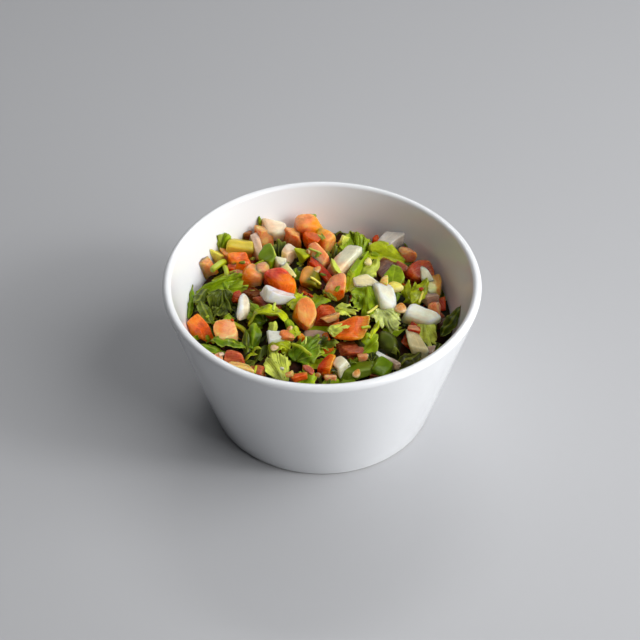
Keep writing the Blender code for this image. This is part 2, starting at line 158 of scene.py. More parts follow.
def ease(value, low, high):
    """A smooth step from 0 at low to 1 at high."""
    share = np.clip((value - low) / (high - low), 0, 1)
    return share * share * (3 - 2 * share)


def blend(first, second, share):
    return first + (second - first) * share


def waves(points, size, draw, count=10):
    """A smooth random height from about -1 to 1 at each point, with bumps about size apart."""
    ways = draw.normal(size=(count, 3))
    rates = 2 * math.pi / size * draw.uniform(0.6, 1.4, (count, 1))
    ways *= rates / np.linalg.norm(ways, axis=1, keepdims=True)
    return np.sin(points @ ways.T + draw.uniform(0, 2 * math.pi, count)).sum(1) / math.sqrt(count)


# What a piece is like unless its row says otherwise: for dice first, then for leaves.
PLAIN = dict(
    taper=0, crisp=20, cuts=None, arch=0, faces={}, half={}, skin=None, lumps=0.1, relief=0.032, steps=16,
    form="fan", lobes=3, teeth=3, spread=84, notch=0.26, bite=0.14, cup=0.5, ruffle=0.4, ruffles=2.5,
    ribs=0.7, curl=0, wrap=0, fold=0, crumple=0.4, under="pale", snips=(),
)


def row(colour, x, y, top, length, width, height, heading=0, nose_up=0, roll=0, **looks):
    return SimpleNamespace(
        colour=colour, place=(x, y, top), size=np.array((length, width, height)),
        turn=(heading, nose_up, roll), **(PLAIN | looks),
    )


# The pieces that show. A row gives a piece's colour, its place x and y, how far its top stands above the
# heap's skin, its length, width and height, then its heading, nose-up and roll in degrees. Sides are named
# as seen along the heading. A side's own colour (faces, half) is the skin or two-tone flesh in some rows,
# and in others a painted highlight on a lit side and painted shade on a shaded side.
TOMATO = (
    row("salmon", -37.2, 20.5, 2.4, 5, 4.6, 7, 20, half={"left": "peach"}, faces={"nose": "brick"}),
    row("salmon", -29.6, 25, 1, 3.6, 3.2, 4, 10),
    row("salmon", -18.9, 15, 1.5, 5, 5.4, 6.4, 5, crisp=5, faces={"top": "pink"}),
    row("salmon", -18.6, 33.6, 3.5, 4.8, 4.6, 8, 12, faces={"nose": "brick"}),
    row("salmon", -9.2, 32.6, 2.4, 4.4, 4.4, 5.5, 20),
    row("salmon", -1.2, 22.6, 1.6, 8.4, 5, 6, -62, crisp=8, faces={"top": "blush"}),
    row("apricot", 4.3, 6.9, 2, 6.8, 5.8, 5.5, 96, 8, crisp=10,
        faces={"top": "blush", "tail": "orange"}),
    row("pink", 26.9, 26.6, 2.6, 4, 4.2, 5.6, 10, crisp=5),
    row("salmon", -10.4, -14.1, 1.4, 3.8, 3.2, 2.6, 8, 0, 10),
    row("deep", -25.9, 20.4, 1.6, 6.4, 6, 6, 15, crisp=8, half={"tail": "orange"}),
    row("orange", -21.9, 13.6, 1.8, 7, 6.2, 9, crisp=7, half={"nose": "salmon"}),
    row("salmon", -4.6, 36.4, 5.4, 8.4, 6.6, 8, 10, crisp=6, half={"nose": "amber"},
        faces={"top": "apricot"}),
    row("apricot", 1, 31.2, 2.4, 5, 5.4, 7, 60, crisp=6, half={"left": "amber"}),
    row("deep", -3.6, 30.4, 2.6, 4.2, 4, 4, -50, skin="top"),
    row("orange", -37, -6.6, 0.4, 8.2, 4.2, 5.6, -58, taper=-0.3, half={"nose": "deep"}),
    row("apricot", -29.1, -10.2, 1.8, 7.8, 7.4, 5.6, -20, 0, 14, crisp=6, half={"nose": "blush"},
        faces={"tail": "orange"},
        cuts=((-1, -1, 0, 0.6), (1, -1, 0, 0.76), (1, 1, 0, 0.76), (-1, 1, 0, 0.85))),
    row("peach", -23.6, -25, 0.6, 6.4, 2.6, 2.6, -28),
    row("apricot", -5, -5.4, 2.8, 9.6, 6.8, 4.4, -80, -20, 0, crisp=12, faces={"right": "orange"},
        cuts=((1, 1, 0, 0.62), (1, -1, 0, 0.62), (-1, 1, 0, 0.78), (-1, -1, 0, 0.7))),
    row("deep", 6.2, -12.2, 1.9, 9.2, 5.8, 2, 10, -3, 9, taper=0.12, crisp=5, arch=-0.9,
        half={"bottom": "orange"}, cuts=((-1, 1, 0, 0.7),)),
    row("peach", 19.2, 9.6, 2.4, 4.8, 2.4, 2.6, 80, taper=-0.3, crisp=4.5),
    row("coral", -12.4, 9.4, 2.4, 11.2, 6.8, 6.2, -58, crisp=6, half={"nose": "orange"}),
    row("brick", 1.4, -4.6, 0.9, 6.8, 6, 6.6, 8, crisp=10, faces={"top": "russet"}),
    row("skin", -0.2, 15.8, 0.4, 11, 3.4, 4.5, -58, -8, faces={"top": "coral"}),
    row("skin", 1.4, -24.4, 0.8, 4, 5.5, 6.5, -18, half={"nose": "orange"}),
    row("brick", 31.4, 18.2, 2.2, 8.4, 7.4, 7, 34, crisp=8, half={"nose": "sienna"}),
    row("skin", 17.5, 32.8, 1.2, 2.4, 3, 5.4, 15, faces={"nose": "leaf"}),
    row("rust", -21.4, 6.6, -1.6, 4.6, 5, 6.5, 10),
    row("sienna", -26, -20, -0.4, 5.6, 4.2, 4, -12, crisp=6),
    row("sienna", 8.6, -16.2, -1.8, 7.6, 5, 4.6, half={"left": "rust"}),
    row("pink", -25.2, 15.6, -0.8, 4.4, 4, 4.2),
    row("rose", 25.2, 19.4, 0.4, 4.6, 4, 4.8, -35),
    row("pink", 35, 3.6, 0.4, 4.4, 3.8, 4.6, 60, crisp=5),
    row("pink", 2.6, -28.4, -0.2, 3.2, 2.8, 3.2, crisp=5),
    row("rose", -3.8, -26.4, 0.2, 3.4, 1.8, 2.4, -40),
    row("pink", -31.3, -20.2, -0.2, 3.4, 2.8, 2.6, 20, crisp=6),
    row("rust", -19, -26, -0.2, 4.6, 4.2, 4, -20, crisp=6, faces={"top": "sienna"}),
    row("orange", -6.3, -13.8, -0.4, 2, 1.8, 2, 30),
    row("pink", 12, -20.8, -0.2, 2.6, 2.2, 2.4),
    row("rust", 15.5, -26, -0.6, 3, 2.6, 2.8),
    row("sienna", -24.5, 35, 2, 3, 2.6, 3.4),
    row("skin", -28.5, 17.5, 0.8, 2.4, 2.4, 3),
    row("brick", -26, 4, 0.2, 2.8, 2.4, 3, 20),
    row("salmon", 2.7, -7.4, 1.4, 4.6, 1.8, 2, 30),
    row("coral", 28, -8.5, 0.4, 3.2, 2.8, 3, faces={"top": "pink"}),
    row("russet", -6.5, -29.5, 1, 4.4, 1.6, 1.8, 20),
)
ONION = (
    row("mauve", -20.8, 28.6, 2.4, 9.6, 3.2, 5, 103, 12, taper=-0.2, half={"tail": "shell"}),
    row("pearl", -15.4, 35.6, 3.6, 8.6, 5, 7.5, 8, crisp=8, half={"tail": "shell"}),
    row("pearl", -10.6, 24.6, 0.6, 5, 3.4, 5.6, 60, taper=0.3, crisp=7, half={"tail": "shell"}),
    row("bone", -13, 18, 1.8, 3.4, 3.6, 4.5),
    row("straw", -10.6, 14, 0.8, 7.4, 2.2, 3, -72),
    row("white", -12.3, 1.4, 2.2, 9.4, 4, 3.2, -12, 0, -14, taper=-0.2, crisp=12, arch=-0.5),
    row("cream", 7.2, 19.6, 2.2, 11.4, 5.2, 4, 49, 6, crisp=12, arch=0.1, half={"tail": "shell"}),
    row("pale", 7.2, 31.8, 1.2, 4.4, 2.2, 4.2, 55),
    row("lilac", 21.2, 31.2, 2.6, 6, 4.8, 3.4, 50, 8, crisp=12, cuts=()),
    row("bone", 32.4, 15.8, 3, 6, 3, 2.8, 100, 10, taper=-0.2, crisp=6),
    row("white", 13.3, 10.4, 0.7, 7.2, 4.4, 3.2, crisp=8, faces={"top": "beige"}, cuts=()),
    row("ivory", 19.5, 4, 3, 10.4, 6.4, 3.4, 96, 0, 20, taper=0.25, crisp=4),
    row("mauve", 33.4, 7.4, 0.4, 4.2, 3.2, 4.2, 40),
    row("ivory", 30, -2.6, 3, 9.6, 6.4, 6.4, -22, -10, 0, crisp=4.5, cuts=()),
    row("beige", 28.2, -12.4, 0.6, 10, 4.2, 4.2, -72, -6, taper=0.3, crisp=5, cuts=()),
    row("mauve", 32, -15.2, -0.8, 3.2, 3, 3.4),
    row("pearl", -23.8, -0.4, 1.7, 9.8, 3.6, 3.6, 92, crisp=2.6, taper=-0.1, lumps=0.05,
        half={"left": "white"}, cuts=()),
    row("mauve", -1, -12, -1.6, 5.6, 3.8, 4.2),
    row("cream", 5.6, -24.4, 1.2, 4.6, 4.6, 6.2, 22),
    row("white", 19.4, -20.9, -0.5, 7.8, 2, 3, -36, half={"nose": "mauve"}),
    row("straw", 35.2, 12, 1.6, 6.6, 4.6, 4, 100, crisp=5, half={"right": "tan"}),
    row("white", -13.6, -14.6, 1.5, 4.8, 3.6, 2.6, 8, 0, 10, taper=-0.2),
)
PEPPER = (
    row("mustard", -26.1, 28.4, 2.2, 7.8, 6.2, 6.4, 4, crisp=9, half={"bottom": "amber"},
        faces={"nose": "grass"}),
    row("lemon", -33.4, 24.4, 1.8, 4.2, 3, 4, -50),
    row("green", -16.9, 20.6, 2.2, 7.6, 5.8, 5.4, 100, crisp=16, faces={"right": "pale"}, skin="top",
        cuts=((-1, 1, 0, 0.6), (-1, -0.7, 0, 0.72), (0.8, 1, 0, 0.7))),
    row("bottle", 19.8, -13.6, -1.4, 7, 6.4, 6.6, crisp=4, faces={"top": "moss"}, skin="top"),
    row("fern", 10.8, -25, 0.4, 11.4, 6.2, 2.4, 24, 0, -12, crisp=6, skin="top"),
    row("leaf", 17.4, -24, 0.8, 6.4, 5.4, 4, 60, skin="top"),
    row("grass", 10.8, 17, 1.2, 9, 2.4, 2.8, 58, 6),
    row("pale", 4.2, 13.6, 3, 5.2, 1.8, 2, -74),
    row("lime", -5.8, 22.8, 0.9, 3.8, 2.8, 2.4, -50, crisp=5),
    row("olive", -3.4, 12.8, 0.6, 7.2, 6.2, 6.2, 70, crisp=7, half={"left": "tan"}),
)
STEM = (
    row("lime", -32.4, 18.2, 1.8, 6.2, 1.9, 1.9, 45, arch=0.6),
    row("lime", -30.2, 15.6, 1.2, 5, 1.5, 1.5, -76, arch=0.4),
    row("lime", -6, -20.2, 1.4, 7.6, 1, 1, -45, arch=0.6),
)
LEAF = (
    row("grass", -32.4, 28.2, 6.6, 9, 7, 2.5, 88, 66, lobes=2, teeth=2, spread=32, notch=0.05,
        bite=0.05, ribs=1, snips=((0, 0.8),)),
    row("dark", -13.6, 27, 1.4, 9, 11, 2.5, 92, 42, ribs=0.5, under="moss"),
    row("moss", 3.8, 24.6, 0.8, 9, 6.4, 2.5, 80, 30),
    row("grass", 10.5, 29.2, 2.4, 12.6, 13.6, 2.4, 106, 30, teeth=3, spread=58, notch=0.08, bite=0.06,
        ribs=0.1, crumple=0.25, ruffle=0.35, ruffles=2),
    row("lime", 20.4, 25.6, 3.2, 13.6, 11, 3, 158, 4, -26, lobes=2, teeth=2, spread=42, notch=0.08,
        bite=0.06, ruffle=0.2, crumple=0.2),
    row("grass", 22.6, 15, 2, 9.6, 7, 2, 78, 24, lobes=1, teeth=2, spread=56, bite=0.03,
        ribs=0.08, ruffle=0.15, crumple=0.12, snips=((0, 0.8), (55, 0.75), (-50, 0.8))),
    row("pale", 14.6, 18, 1.2, 9, 6.4, 2, 62, 12, lobes=2, fold=0.4),
    row("lime", 8.6, 10.6, 0.8, 8.6, 7.4, 2, 85, 14),
    row("grass", 14.2, 0.8, 2.4, 13.8, 11.4, 2.6, -86, -18, lobes=3, teeth=4, ribs=0.4, under="grass",
        crumple=0.35, fold=0.1),
    row("frost", 20.4, -5.4, 1.4, 10.6, 9.4, 3, -62, -8, ribs=0.4, crumple=0.6),
    row("lime", 27.6, 8.4, 1.4, 9.6, 7.4, 2.4, 80, 28, lobes=2, fold=0.4),
    row("pale", 31.6, -9.4, 1.6, 11.4, 8, 2.4, -78, -24, ribs=0.5, under="lime"),
    row("dark", 28.2, 29.2, 1.6, 9.4, 5.2, 2, 120, 46),
    row("grass", -31, 9.4, 3, 17, 8.4, 2.8, 8, 6, 30, lobes=2, teeth=3, spread=34, notch=0.08,
        bite=0.06, ribs=0.3, ruffle=0.6, ruffles=2, crumple=0.35),
    row("sage", -30.4, 2, 1.4, 12, 10.6, 3, -86, -26, under="sage", crumple=1.3, lobes=5, ribs=1.2,
        ruffles=6),
    row("lime", -15.6, -5.4, 4.4, 21, 6.2, 3, -10, 0, -16, form="blade", ribs=0.3, under="moss",
        curl=195, cup=0.1),
    row("leaf", -19.4, -3.2, 1, 8.6, 8, 2, 130, 16, under="moss", wrap=70),
    row("leaf", -20.4, -12.2, 1.3, 8.4, 4.6, 2.6, 84, 20, lobes=1, notch=0.1, bite=0.08, wrap=110,
        under="dark"),
    row("lime", -12, -18, 1.2, 7.6, 6.6, 2.4, crumple=0.6),
    row("leaf", -4.4, -18.2, 2, 11.6, 10.6, 2.6, 52, 12, bite=0.09, ribs=0.3, crumple=0.4,
        under="grass"),
    row("pale", -12.4, -24.8, 1.8, 12, 9, 2.4, 116, 34, lobes=3, teeth=4, spread=36, notch=0.05,
        bite=0.07, ribs=0.25, crumple=0.3, snips=((200, 0.7),), under="lime"),
    row("grass", -4.6, -28, 0.8, 8.8, 6.8, 2, 80, 20, ribs=0.4),
    row("pale", 5.3, -13.3, 2.9, 7.4, 5, 1.6, 20, notch=0.4),
    row("pale", 7.4, -4.2, 1.4, 7.6, 5.4, 1.6, -20, notch=0.35),
    row("grass", 13.6, -15.4, 1.8, 8.2, 7.6, 2.6, 60, 24, lobes=2, teeth=2, notch=0.1, ribs=0.3,
        crumple=0.25),
    row("moss", 1.4, -16.4, 0.2, 7.4, 6.4, 1.8),
    row("lime", -7.4, -0.2, 1.8, 8.6, 4.6, 2, 50, lobes=2),
    row("dark", 14.8, -19.6, -0.2, 7, 6, 1.8, 90),
    row("leaf", -3.4, 38.6, 5.7, 3.2, 2.6, 0.8, 20, lobes=1, teeth=2, ribs=0.3, crumple=0.15),
    row("pale", -15, -11, 1.8, 4.8, 2.8, 1.2, 80, 50, lobes=1, teeth=2, spread=36, ribs=0.4),
    row("lime", -8.5, -14, 1.2, 4.6, 3.6, 1.2, 30, lobes=2, ribs=0.3, crumple=0.2),
    row("dark", 4, -26.4, 1, 4.2, 2.8, 1.2, 10, lobes=1, ribs=0.3, crumple=0.2),
)
BLADE = (
    row("leaf", -40.8, 4.6, 0.8, 14, 2.4, 1.2, 90, 10),
    row("moss", -35.4, -1.8, 0.2, 10.4, 4, 1.4, -68),
    row("leaf", -32.8, -16.6, 0.2, 9.8, 3, 1.2, -24),
    row("lime", 30.2, 7.4, 1.9, 12, 4.4, 1.4, 64),
    row("moss", 39.6, -4.8, 5.6, 12, 4.4, 1.4, 47, 28),
    row("murk", 26, -19.8, -0.3, 10, 5, 1.4, 40),
    row("olive", 2.4, 2, 1.2, 7, 2.2, 1, -52),
    row("moss", -22.6, -15, 0.6, 9, 2.6, 1.2, 96, 30),
    row("grass", -19.9, 36.4, 5.8, 6, 1.4, 1, 95, 62),
    row("grass", -9.4, -10.4, 0.6, 8.4, 2.6, 1.4, -68),
    row("lime", 15.6, -11.2, 1.8, 7.4, 1.8, 1, 62, 12),
    row("leaf", -27.6, -15.4, 0.8, 10, 4.4, 1.6, -18),
    row("moss", -37, 6.2, 0.4, 9, 4, 1.4, 62),
)
SEEDS = (
    row("tan", 24, -1.6, 2, 4.4, 3.6, 1.8, 80),
    row("tan", 10.2, -28.2, 1.6, 3.4, 2.2, 1.6, 70),
    row("straw", 14.6, 19.4, 1.6, 3.6, 2.4, 1.6, 80),
    row("lemon", 22.8, 8.4, 1.8, 5.2, 4, 3, -10),
    row("tan", -1.4, 14.2, 1.4, 3, 2, 1.6, 50),
    row("shell", -14, -19.6, 1.8, 2.6, 2, 1.6),
)


# Bowl profile and heap surface, as in the solids
LIP_CENTRE = Vector((RIM_RADIUS - LIP, HEIGHT - LIP))
OUTWARD = Vector((math.cos(LEAN), -math.sin(LEAN)))


def wall_radius(z, side=-1):
    """The wall's inner radius at a height, or with side 1 its outer radius."""
    start = LIP_CENTRE + OUTWARD * LIP * side
    return start.x + (z - start.y) * math.tan(LEAN)


def arc(centre, radius, start, end, steps):
    """Points on an arc, its angles in degrees from +X."""
    angles = [math.radians(start + (end - start) * i / steps) for i in range(steps + 1)]
    return [centre + radius * Vector((math.cos(a), math.sin(a))) for a in angles]


def inner_corner(offset=0.0, steps=CORNER_STEPS):
    """The rounded corner between floor and wall, offset into the bowl."""
    centre_z = FLOOR_TOP + INNER_CORNER
    centre = Vector((wall_radius(centre_z) - INNER_CORNER / math.cos(LEAN), centre_z))
    return arc(centre, INNER_CORNER - offset, -90, -math.degrees(LEAN), steps)


def bowl_profile():
    """Half section, from the underside's middle round to the floor's middle."""
    foot_radius = wall_radius(FOOT_EDGE, 1)
    recess_radius = foot_radius - FOOT_EDGE - FOOT_WIDTH
    lean = math.degrees(LEAN)
    points = [Vector((0.0, FOOT_RECESS)), Vector((recess_radius - FOOT_RECESS, FOOT_RECESS))]
    points.append(Vector((recess_radius, 0.0)))
    points += arc(Vector((foot_radius - FOOT_EDGE, FOOT_EDGE)), FOOT_EDGE, -90, -lean, FOOT_STEPS)
    points += arc(LIP_CENTRE, LIP, -lean, 180 - lean, LIP_STEPS)
    points += reversed(inner_corner())
    points.append(Vector((0.0, FLOOR_TOP)))
    return points


def skin_height(x, y):
    """The smooth surface that the pieces' tops lie about."""
    share = np.minimum(1.0, (x * x + y * y) / LEVEL_RADIUS ** 2)
    return WALL_LEVEL + CROWN * (1 - share) + RISE_TO_BACK * y - RISE_TO_LEFT * x


def core_top(x, y):
    """The core's bumpy top, below the pieces."""
    bump = np.sin(0.62 * x + 0.4) * np.cos(0.55 * y) + 0.5 * np.sin(0.9 * y - 0.5 * x)
    return skin_height(x, y) - CORE_DEPTH + CORE_BUMP * bump


def keep_inside(points, gap=GAP):
    """Moves points in from the wall and down from the rim."""
    points[:, 2] = np.minimum(points[:, 2], HIGHEST)
    limit = wall_radius(points[:, 2]) - gap / math.cos(LEAN)
    distance = np.maximum(np.hypot(points[:, 0], points[:, 1]), 1e-6)
    points[:, :2] *= np.minimum(1, limit / distance)[:, None]
    return points


# Materials
class Shader:
    """A material whose nodes are made and joined in short calls."""

    def __init__(self, name, **values):
        self.material = bpy.data.materials.new(name)
        self.material.use_nodes = True
        self.tree = self.material.node_tree
        self.surface = self.tree.nodes["Principled BSDF"]
        self.set(self.surface, values)

    def set(self, node, values):
        """Sets or links inputs, named with _ for each space."""
        for name, value in values.items():
            socket = node.inputs[name if isinstance(name, int) else name.replace("_", " ")]
            if isinstance(value, bpy.types.NodeSocket):
                self.tree.links.new(value, socket)
            else:
                socket.default_value = value

    def node(self, kind, values, output=0, **settings):
        made = self.tree.nodes.new("ShaderNode" + kind)
        for name, value in settings.items():
            setattr(made, name, value)
        self.set(made, values)
        return made.outputs[output]

    def attribute(self, name, output="Vector"):
        return self.node("Attribute", {}, output, attribute_name=name)

    def place(self):
        """The point in the part's frame, in metres."""
        return self.node("TexCoord", {}, "Object")

    def noise(self, vector, scale, detail=3, roughness=0.5, distortion=0):
        return self.node("TexNoise", {
            "Vector": vector, "Scale": scale, "Detail": detail, "Roughness": roughness,
            "Distortion": distortion,
        })

    def spread(self, value, low, high, to_low=0, to_high=1):
        """Maps low to high smoothly onto another range."""
        return self.node("MapRange", {
            "Value": value, "From_Min": low, "From_Max": high, "To_Min": to_low, "To_Max": to_high,
        }, interpolation_type="SMOOTHSTEP")

    def math(self, operation, first, second=0):
        return self.node("Math", {0: first, 1: second}, operation=operation)

    def mix(self, share, first, second, how="MIX"):
        return self.node("Mix", {0: share, 6: first, 7: second}, 2, data_type="RGBA", blend_type=how)

    def mix_value(self, share, first, second):
        return self.node("Mix", {0: share, 2: first, 3: second}, data_type="FLOAT")

    def shaded(self, colour, value):
        """A colour made lighter or darker by a value."""
        grey = self.node("CombineColor", {0: value, 1: value, 2: value})
        return self.mix(1, colour, grey, "MULTIPLY")

    def cover(self, colour, roughness):
        self.set(self.surface, {"Base_Color": colour, "Roughness": roughness})

    def bump(self, height, strength, distance, layer="Normal"):
        normal = self.node("Bump", {"Height": height, "Strength": strength, "Distance": distance})
        self.set(self.surface, {layer: normal})


def porcelain():
    """White glaze, a little uneven, bare and rougher under the foot ring."""
    s = Shader("porcelain", IOR=1.5, Coat_Weight=0.35, Coat_Roughness=0.06)
    height = s.node("SeparateXYZ", {0: s.place()}, 2)
    bare = s.spread(height, 0.0002, 0.0005, 1, 0)
    cloud = s.noise(s.place(), 40, 2)
    glaze = s.mix(cloud, *GLAZE)
    gloss = s.spread(cloud, 0.3, 0.7, 0.14, 0.2)
    s.cover(s.mix(bare, glaze, BARE_FOOT), s.mix_value(bare, gloss, 0.7))
    s.bump(s.noise(s.place(), 260, 2), 0.06, 0.0004)
    return s.material


# Wet flesh by kind: the material's name; its mottle, fibres, roughness and bump; the subsurface weight,
# radius for each colour and scale; the weight and roughness of its coat of juice, and its specular level.
FLESH = {
    "tomato": ("tomato", (0.2, 0.5, 0.24, 0.3), (1, (1, 0.45, 0.1), 0.005), (0.45, 0.05, 0.08)),
    "onion": ("onion", (0.08, 0.3, 0.24, 0.2), (1, (1, 0.92, 0.8), 0.004), (0.6, 0.05, 0.2)),
    "pepper": ("green_pepper", (0.1, 0.15, 0.34, 0.12), (0.3, (0.8, 1, 0.15), 0.001), (0.25, 0.06, 0.08)),
    "stalk": ("coriander_stalk", (0.1, 0.3, 0.35, 0.2), (0.4, (0.6, 1, 0.3), 0.0008), (0.2, 0.03, 0.5)),
    "seed": ("seed", (0.1, 0.2, 0.3, 0.2), (0.6, (1, 0.8, 0.4), 0.0012), (0.5, 0.08, 0.5)),
}


def wet_shader(name, inside, juice):
    """A material that light goes into, with a coat of juice."""
    weight, radius, scale = inside
    coat, coat_roughness, specular = juice
    return Shader(
        name, Subsurface_Weight=weight, Subsurface_Radius=radius, Subsurface_Scale=scale,
        Coat_Weight=coat, Coat_Roughness=coat_roughness, Specular_IOR_Level=specular,
    )


def flesh(kind):
    """Wet cut vegetable: its painted colour, mottled, with fibres along it."""
    name, (mottle, fibres, roughness, bump), inside, juice = FLESH[kind]
    s = wet_shader(name, inside, juice)
    grain = s.attribute("grain")
    skin = s.attribute("mark", "Fac")
    cloud = s.noise(grain, 0.45, 4, 0.6, 0.6)
    shade = s.spread(cloud, 0.25, 0.75, 1 - mottle, 1 + mottle)
    colour = s.shaded(s.attribute("tint", "Color"), shade)
    stretched = s.node("Mapping", {"Vector": grain, "Scale": (0.25, 1.6, 1.6)})
    thread = s.noise(stretched, 1.3, 3, 0.6)
    thread = s.spread(thread, 0.48, 0.68, 0, fibres)
    thread = s.math("MULTIPLY", thread, s.math("SUBTRACT", 1, skin))
    pale = s.mix(0.25, s.mix(1, colour, (1.5, 1.5, 1.5, 1), "MULTIPLY"), FIBRE)
    rough = s.spread(cloud, 0.3, 0.7, roughness - 0.07, roughness + 0.1)
    s.cover(s.mix(thread, colour, pale), rough)
    s.bump(s.noise(grain, 2.2, 4, 0.6), bump, 0.0003)
    s.bump(s.noise(grain, 0.8, 2, 0.5), 0.6, 0.0005, "Coat_Normal")
    return s.material


def foliage():
    """Herb leaf: its painted colour, clouded, with pale veins and fine wrinkles."""
    s = wet_shader("coriander_leaf", (0.4, (0.9, 1, 0.15), 0.0005), (0.35, 0.08, 0.06))
    grain = s.attribute("grain")
    lobe = s.node("SeparateXYZ", {0: grain}, 0)
    along = s.node("SeparateXYZ", {0: grain}, 1)
    across = s.math("ABSOLUTE", s.math("SUBTRACT", s.math("FRACT", lobe), 0.5))
    width = s.math("MULTIPLY", across, s.math("MAXIMUM", along, 0.5))
    vein = s.spread(width, 0.05, 0.3, 1, 0)
    cloud = s.noise(s.place(), 420, 4, 0.6)
    shade = s.spread(cloud, 0.28, 0.72, 0.72, 1.28)
    colour = s.shaded(s.attribute("tint", "Color"), shade)
    pale = s.mix(0.4, colour, VEIN)
    rough = s.spread(cloud, 0.3, 0.7, 0.3, 0.48)
    s.cover(s.mix(s.math("MULTIPLY", vein, 0.6), colour, pale), rough)
    wrinkle = s.noise(s.place(), 1500, 3, 0.6)
    s.bump(s.math("SUBTRACT", wrinkle, vein), 0.35, 0.0002)
    s.bump(s.noise(s.place(), 500, 2), 0.6, 0.0005, "Coat_Normal")
    return s.material


def pulp():
    """The wet mash of juice, seeds and scraps under the pieces, painted near black as the shade deep in
    the gaps.
    """
    s = Shader("pulp", Specular_IOR_Level=0.08)
    cloud = s.noise(s.place(), 230, 4, 0.6)
    fine = s.noise(s.place(), 900, 3, 0.6)
    # Near-black colours: painted shade deep in the gaps.
    warm = s.mix(s.spread(cloud, 0.42, 0.6), PULP_SHADE_GREEN, PULP_SHADE_RED)
    colour = s.mix(s.spread(fine, 0.58, 0.78, 0, 0.4), warm, PULP_SHADE_BITS)
    s.cover(colour, s.spread(fine, 0.3, 0.7, 0.4, 0.6))
    s.bump(fine, 0.6, 0.0006)
    return s.material


# Meshes
GRAIN_SHIFT = 50


class Pile:
    """The pieces of one kind, gathered in millimetres into one mesh."""

    def __init__(self, name):
        self.name = name
        self.parts = []
        self.quads = []
        self.count = 0

    def add(self, points, quads, tint, grain, mark):
        """Takes points with their tint, their place in the grain, and a mark from 0 to 1."""
        self.parts.append((points, tint, grain, mark))
        self.quads.append(quads + self.count)
        self.count += len(points)

    def add_flesh(self, points, quads, tint, solid, mark, draw):
        """Takes a piece whose grain is its own flesh, shifted so that no two share it."""
        grain = solid + draw.uniform(-GRAIN_SHIFT, GRAIN_SHIFT, 3)
        self.add(points, quads, tint, grain, mark)

    def arrays(self):
        return [np.concatenate(column) for column in zip(*self.parts)], np.concatenate(self.quads)

    def make(self, material):
        """The object, with its three painted attributes."""
        (points, tint, grain, mark), quads = self.arrays()
        mesh = bpy.data.meshes.new(self.name)
        mesh.from_pydata((points * MM).tolist(), [], quads.tolist())
        colours = np.column_stack([np.clip(tint, 0, 1), np.ones(len(tint))])
        for name, kind, field, values in (
            ("tint", "FLOAT_COLOR", "color", colours), ("grain", "FLOAT_VECTOR", "vector", grain),
            ("mark", "FLOAT", "value", mark),
        ):
            layer = mesh.attributes.new(name, kind, "POINT").data
            layer.foreach_set(field, values.ravel().astype(np.float32))
        mesh.shade_smooth()
        return link(self.name, mesh, material, "pico_heap")


def new_object(name, data):
    made = bpy.data.objects.new(name, data)
    bpy.context.scene.collection.objects.link(made)
    return made


def link(name, mesh, material, node):
    """A finished piece that rides on the part and stands for one of its nodes."""
    mesh.materials.append(material)
    made = new_object(name, mesh)
    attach(made, "root")
    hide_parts(node)
    return made


def lathe(profile, sides):
    """A turned mesh from a half section whose ends lie on the axis."""
    bm = bmesh.new()
    points = [bm.verts.new((p.x, 0.0, p.y)) for p in profile]
    edges = [bm.edges.new(pair) for pair in zip(points, points[1:])]
    bmesh.ops.spin(
        bm, geom=points + edges, cent=(0, 0, 0), axis=(0, 0, 1), angle=2 * math.pi, steps=sides,
        use_merge=True,
    )
    bmesh.ops.remove_doubles(bm, verts=bm.verts, dist=1e-4)
    bmesh.ops.recalc_face_normals(bm, faces=bm.faces)
    return bm


def finish_lathe(bm, name, sharp):
    bmesh.ops.scale(bm, vec=(MM, MM, MM), verts=bm.verts)
    mesh = bpy.data.meshes.new(name)
    bm.to_mesh(mesh)
    bm.free()
    mesh.shade_smooth()
    mesh.set_sharp_from_angle(angle=math.radians(sharp))
    return mesh


def make_bowl():
    mesh = finish_lathe(lathe(bowl_profile(), BOWL_SIDES), "porcelain_bowl", BOWL_SHARP)
    return link("porcelain_bowl", mesh, porcelain(), "bowl")


def make_core(draw):
    """The dome of pulp in the gaps, filling the cone down to the bowl's floor; its near-black colour is
    painted shade.
    """
    top_radius = wall_radius(WALL_LEVEL - CORE_DEPTH)
    profile = [Vector((top_radius * i / CORE_RINGS, HEIGHT)) for i in range(CORE_RINGS + 1)]
    profile += reversed(inner_corner(offset=GAP, steps=CORE_CORNER_STEPS))
    profile.append(Vector((0.0, FLOOR_TOP + GAP)))
    bm = lathe(profile, CORE_SIDES)
    points = np.array([v.co for v in bm.verts])
    top = points[:, 2] > HEIGHT - 1
    points[top, 2] = core_top(points[top, 0], points[top, 1])
    points[top, 2] += sum(height * waves(points[top], size, draw) for size, height in CORE_RELIEF)
    keep_inside(points)
    for vert, point in zip(bm.verts, points):
        vert.co = point
    mesh = finish_lathe(bm, "salad_core", CORE_SHARP)
    return link("salad_core", mesh, pulp(), "pico_heap")


@functools.lru_cache
def cube_grid(steps):
    """Points and quads over a cube from -1 to 1, closer towards its edges."""
    even = np.linspace(-1, 1, steps + 1)
    spots = 0.5 * even + 0.5 * np.sin(even * math.pi / 2)
    index, points, quads = {}, [], []
    for axis in range(3):
        for side in (0, steps):
            outward = (side == steps) != (axis == 1)
            for i in range(steps):
                for j in range(steps):
                    corners = [(i, j), (i + 1, j), (i + 1, j + 1), (i, j + 1)]
                    quad = []
                    for corner in corners if outward else reversed(corners):
                        cell = (*corner[:axis], side, *corner[axis:])
                        if cell not in index:
                            index[cell] = len(points)
                            points.append([spots[c] for c in cell])
                        quad.append(index[cell])
                    quads.append(quad)
    return np.array(points), np.array(quads)


def normals_of(points, quads):
    """Each point's outward direction."""
    corners = points[quads]
    crosses = np.cross(corners[:, 2] - corners[:, 0], corners[:, 3] - corners[:, 1])
    result = np.zeros_like(points)
    for k in range(4):
        np.add.at(result, quads[:, k], crosses)
    return result / np.maximum(np.linalg.norm(result, axis=1, keepdims=True), 1e-9)


SEAT = 0.45


